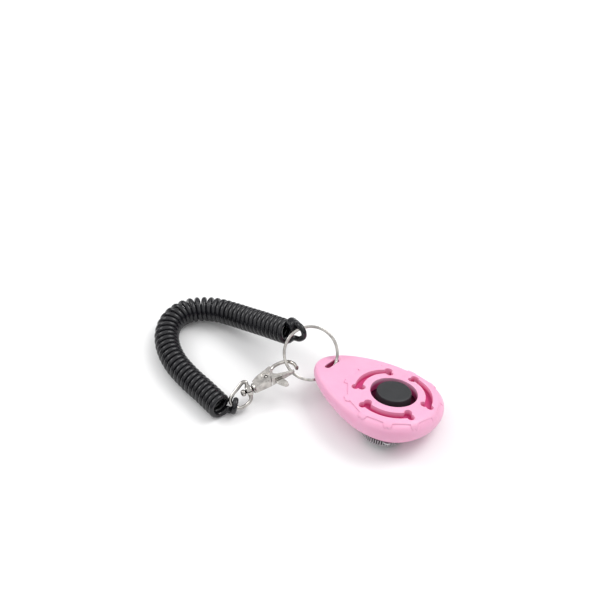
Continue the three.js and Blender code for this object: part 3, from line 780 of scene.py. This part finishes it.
plate_outline = [(2.9, -1.5), (10.6, -1.5), (11.2, 0.2), (11.6, 2.4)] + flat_curve(
    [(12.1, 3.7), (12.8, 4.4), (13.6, 4.9)]) + flat_curve(
    [(13.0, 6.3), (10.6, 5.45), (8.4, 4.8), (5.6, 3.9), (2.9, 2.3)])
hook = prism("hook", plate_outline, -2.2, 2.2)
bow_line = catmull([(11.4, 4.4, 0), (12.4, 5.05, 0), (15.1, 6.7, 0), (19.1, 6.75, 0),
                    (22.1, 5.4, 0), (23.6, 2.9, 0), (23.75, 0.2, 0)], 10)
BOW_RADIUS, BOW_SIDES = 0.85, 24
along = np.linspace(0, 1, len(bow_line))
bow = sweep("bow", bow_line, circle(BOW_RADIUS, BOW_SIDES), up=(0, 0, 1))
for i, vertex in enumerate(bow.data.vertices):
    share = along[i // BOW_SIDES]
    vertex.co.z *= 1.0 + 0.55 * max(0.0, 1 - share * 4) + 0.8 * max(0.0, share * 3 - 2)
hook = combine(hook, bow, "UNION")
neck = combine(prism("neck", disc(1.65, sides=40), 1.6, 4.4),
               turned("bead", [(0, 1.65), (1.7, 1.65), (2.2, 1.9), (2.4, 2.3), (2.2, 2.75), (1.7, 3.0),
                               (0, 3.0)], 48), "UNION")
place(neck, ALONG_X)
hook = combine(hook, neck, "UNION")
hook = combine(hook, box_solid("gate_room", 7.3, 14.2, -0.6, 3.4, -1.2, 1.2), "DIFFERENCE")
hook = combine(hook, prism("pin_hole", disc(0.95, PIVOT_X, PIVOT_Y, 32), -3, 3), "DIFFERENCE")
stud_hole = place(prism("stud_hole", disc(1.15, sides=32), -1, 3.4), ALONG_X)
hook = combine(hook, stud_hole, "DIFFERENCE")
# a shallow hollow round the pin, as cast
groove = combine(prism("groove", disc(2.1, PIVOT_X, PIVOT_Y, 48), 1.75, 3),
                 prism("island", disc(1.45, PIVOT_X, PIVOT_Y, 48), 1, 4), "DIFFERENCE")
groove = combine(groove, box_solid("half", 5, 13.5, PIVOT_Y - 0.2, 6, 1, 4), "INTERSECT")
hook = combine(hook, groove, "DIFFERENCE")
moulded(hook, HOOK_VOXEL, 5)

gate = prism("gate", [(10.95, -1.45), (21.8, -1.25), (22.15, -0.8), (22.05, -0.25)] + flat_curve(
    [(18.1, 0.2), (16.2, 0.5), (14.3, 0.95), (12.25, 2.15)]) + [(11.9, 1.95)], -2.2, 2.2)
tapered(gate, 11, 2.2, 1.55 / 11)
for outline, low, high in (
        ([(9, 0.15), (11.2, 0), (12, -0.9), (13.2, -0.9), (13.2, 1.2), (10.2, 2.75)], -0.9, 0.2),
        (disc(1.5, PIVOT_X, PIVOT_Y, 36), -0.9, 0.2),
        ([(12.2, -1.2), (13.2, -3.6), (15.2, -6.2), (16.2, -6.5), (16.9, -6.0), (17, -4.9),
          (15.8, -1.2)], -1.0, 0.4)):
    gate = combine(gate, prism("part", outline, low, high), "UNION")
gate = combine(gate, prism("pin_hole", disc(0.95, PIVOT_X, PIVOT_Y, 32), -3, 3), "DIFFERENCE")
moulded(gate, HOOK_VOXEL, 4)

pin = turned("pin", [(0, -2.2), (0.5, -2.18), (0.6, -2.0), (0.6, 2.0), (0.5, 2.18), (0, 2.2)], 40)
place(pin, Matrix.Translation((PIVOT_X, PIVOT_Y, 0)))
stud = turned("stud", [(0, -3.9), (0.5, -3.88), (1.0, -3.75), (1.35, -3.45), (1.55, -3.0),
                       (1.6, -2.5), (1.5, -2.1), (1.25, -1.85), (0.8, -1.7), (0.8, 3.1), (0, 3.1)], 64)
place(stud, ALONG_X)

EYE_LOOP = [
    (0, 2.2), (0.2, 3.9), (-1, 4.4), (-4.6, 2.75), (-8, 0.95), (-9.4, -0.6), (-9.45, -2.1),
    (-8.7, -3.7), (-7.4, -5.1), (-5.7, -5.6), (-3, -5.2), (-1, -4.1), (0, -2.2),
]
eye_line = catmull([(x, y, 0) for x, y in EYE_LOOP], 12)
EYE_RADIUS, EYE_SIDES = 0.88, 20
eye = sweep("eye", eye_line, circle(EYE_RADIUS, EYE_SIDES), up=(0, 0, 1))
for i, vertex in enumerate(eye.data.vertices):
    share = (i // EYE_SIDES) / len(eye_line)
    vertex.co.z *= 1.0 + 0.45 * max(0.0, min(1.0, (share - 0.72) * 6)) + 0.25 * max(0.0, 1 - share * 8)
collar = place(turned("collar", [(0, -1.3), (2.1, -1.3), (2.4, -1.1), (2.5, -0.7), (2.5, 0.7),
                                 (2.4, 1.1), (2.1, 1.3), (0, 1.3)], 56), ALONG_X)
eye = combine(eye, collar, "UNION")
eye_hole = place(prism("eye_hole", disc(1.15, sides=32), -3, 3), ALONG_X)
eye = combine(eye, eye_hole, "DIFFERENCE")
moulded(eye, HOOK_VOXEL, 4)

for piece, matrix, node, body in (
        (hook, HOOK_MM, "hook_body", "hook"), (gate, HOOK_MM, "hook_gate", "gate"),
        (pin, HOOK_MM, "gate_pin", "hook"), (stud, HOOK_MM, "swivel_stud", "hook"),
        (eye, EYE_MM, "swivel_eye", "eye")):
    place(piece, matrix)
    piece.name = node + "_cast"
    dress(piece, NICKEL)
    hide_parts(node)
    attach(piece, body)

# ------------------------------------------------------------------ sound dial
DIAL_TEETH, DIAL_RADIUS, DIAL_LOW, DIAL_HIGH = 52, 9.1, -16.75, -14.2
rim = []
for i in range(DIAL_TEETH):
    for part, depth in ((0.0, 0.0), (0.4, 0.0), (0.46, 0.9), (0.94, 0.9)):
        t = 2 * math.pi * (i + part) / DIAL_TEETH
        rim.append(((DIAL_RADIUS - depth) * math.cos(t), (DIAL_RADIUS - depth) * math.sin(t)))
dial = prism("dial", rim, DIAL_LOW, DIAL_HIGH)
dial = combine(dial, prism("spindle", disc(2.1, sides=40), DIAL_HIGH - 0.5, -12.2), "UNION")
for i in range(3):
    t = math.radians(i * 120 + 90)
    port_outline = disc(PORT_RADIUS, PORT_AT * math.cos(t), PORT_AT * math.sin(t), 32)
    dial = combine(dial, prism("port", port_outline, -20, -13), "DIFFERENCE")
dial = combine(dial, prism("bore", disc(1.0, sides=32), -15.5, -10), "DIFFERENCE")
edge = dial.modifiers.new("edge", "BEVEL")
edge.width = 0.08
edge.segments = 2
apply_modifiers(dial)
# the points in the tooth gaps carry the painted shade
gaps = [1.0 if DIAL_RADIUS - 1.1 < math.hypot(v.co.x, v.co.y) < DIAL_RADIUS - 0.3 else 0.0
        for v in dial.data.vertices]
dial.data.attributes.new("painted_shade", "FLOAT", "POINT").data.foreach_set("value", gaps)
place(dial, BODY_MM @ Matrix.Translation((DIAL_X, DIAL_Y, 0)))
dress(dial, PALE)
dial.name = "sound_dial"
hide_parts("volume_dial")
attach(dial, "dial")

# ------------------------------------------------------------------ everything else
for node in ("click_reed", "reed_clamp", "reed_screw", "dial_retainer", "dial_screw",
             "housing_screw_1", "housing_screw_2", "housing_screw_3", "gate_spring"):
    dress(bpy.data.objects[node], STEEL)

# ------------------------------------------------------------------ floor and light
FLOOR_HALF, FLOOR_Z = 4, -0.0001
floor_corners = [(x * FLOOR_HALF, y * FLOOR_HALF, FLOOR_Z)
                 for x, y in ((-1, -1), (1, -1), (1, 1), (-1, 1))]
floor_mesh = mesh_object("floor", floor_corners, [(0, 1, 2, 3)], smooth=False)
floor_material, floor_tree, floor_shader, floor_where = new_material("floor")
floor_tone = noise_node(floor_tree, floor_where, 3.0)
floor_colour = ramp_node(floor_tree, floor_tone, [(0, (0.9, 0.9, 0.9)), (1, (0.93, 0.93, 0.93))])
floor_tree.links.new(floor_colour, floor_shader.inputs["Base Color"])
floor_shader.inputs["Roughness"].default_value = 0.6
dress(floor_mesh, floor_material)

SCENE.view_settings.view_transform = "Standard"
world = bpy.data.worlds.new("studio")
SCENE.world = world
world.use_nodes = True
sky = world.node_tree
sky_place = sky.nodes.new("ShaderNodeTexCoord")
sky_split = sky.nodes.new("ShaderNodeSeparateXYZ")
sky.links.new(sky_place.outputs["Generated"], sky_split.inputs["Vector"])
sky_colour = ramp_node(sky, sky_split.outputs["Z"], [
    (0.0, (0.06, 0.06, 0.065)), (0.1, (0.07, 0.07, 0.075)), (0.28, (0.3, 0.3, 0.31)),
    (0.45, (0.85, 0.85, 0.86)), (1.0, (1.0, 1.0, 1.0))])
sky.links.new(sky_colour, sky.nodes["Background"].inputs["Color"])
sky.nodes["Background"].inputs["Strength"].default_value = 1.03


def soft_box(name, at, size, power, look_at=(0, 0, 0)):
    data = bpy.data.lights.new(name, "AREA")
    data.shape = "RECTANGLE"
    data.size, data.size_y = size
    data.energy = power
    obj = link(bpy.data.objects.new(name, data))
    obj.location = at
    obj.rotation_euler = (Vector(look_at) - Vector(at)).to_track_quat("-Z", "Y").to_euler()
    return obj


soft_box("key", (0.4, 0.75, 1.2), (0.8, 0.8), 8.5)
soft_box("fill", (-0.9, -0.3, 0.8), (0.5, 0.5), 3.5)
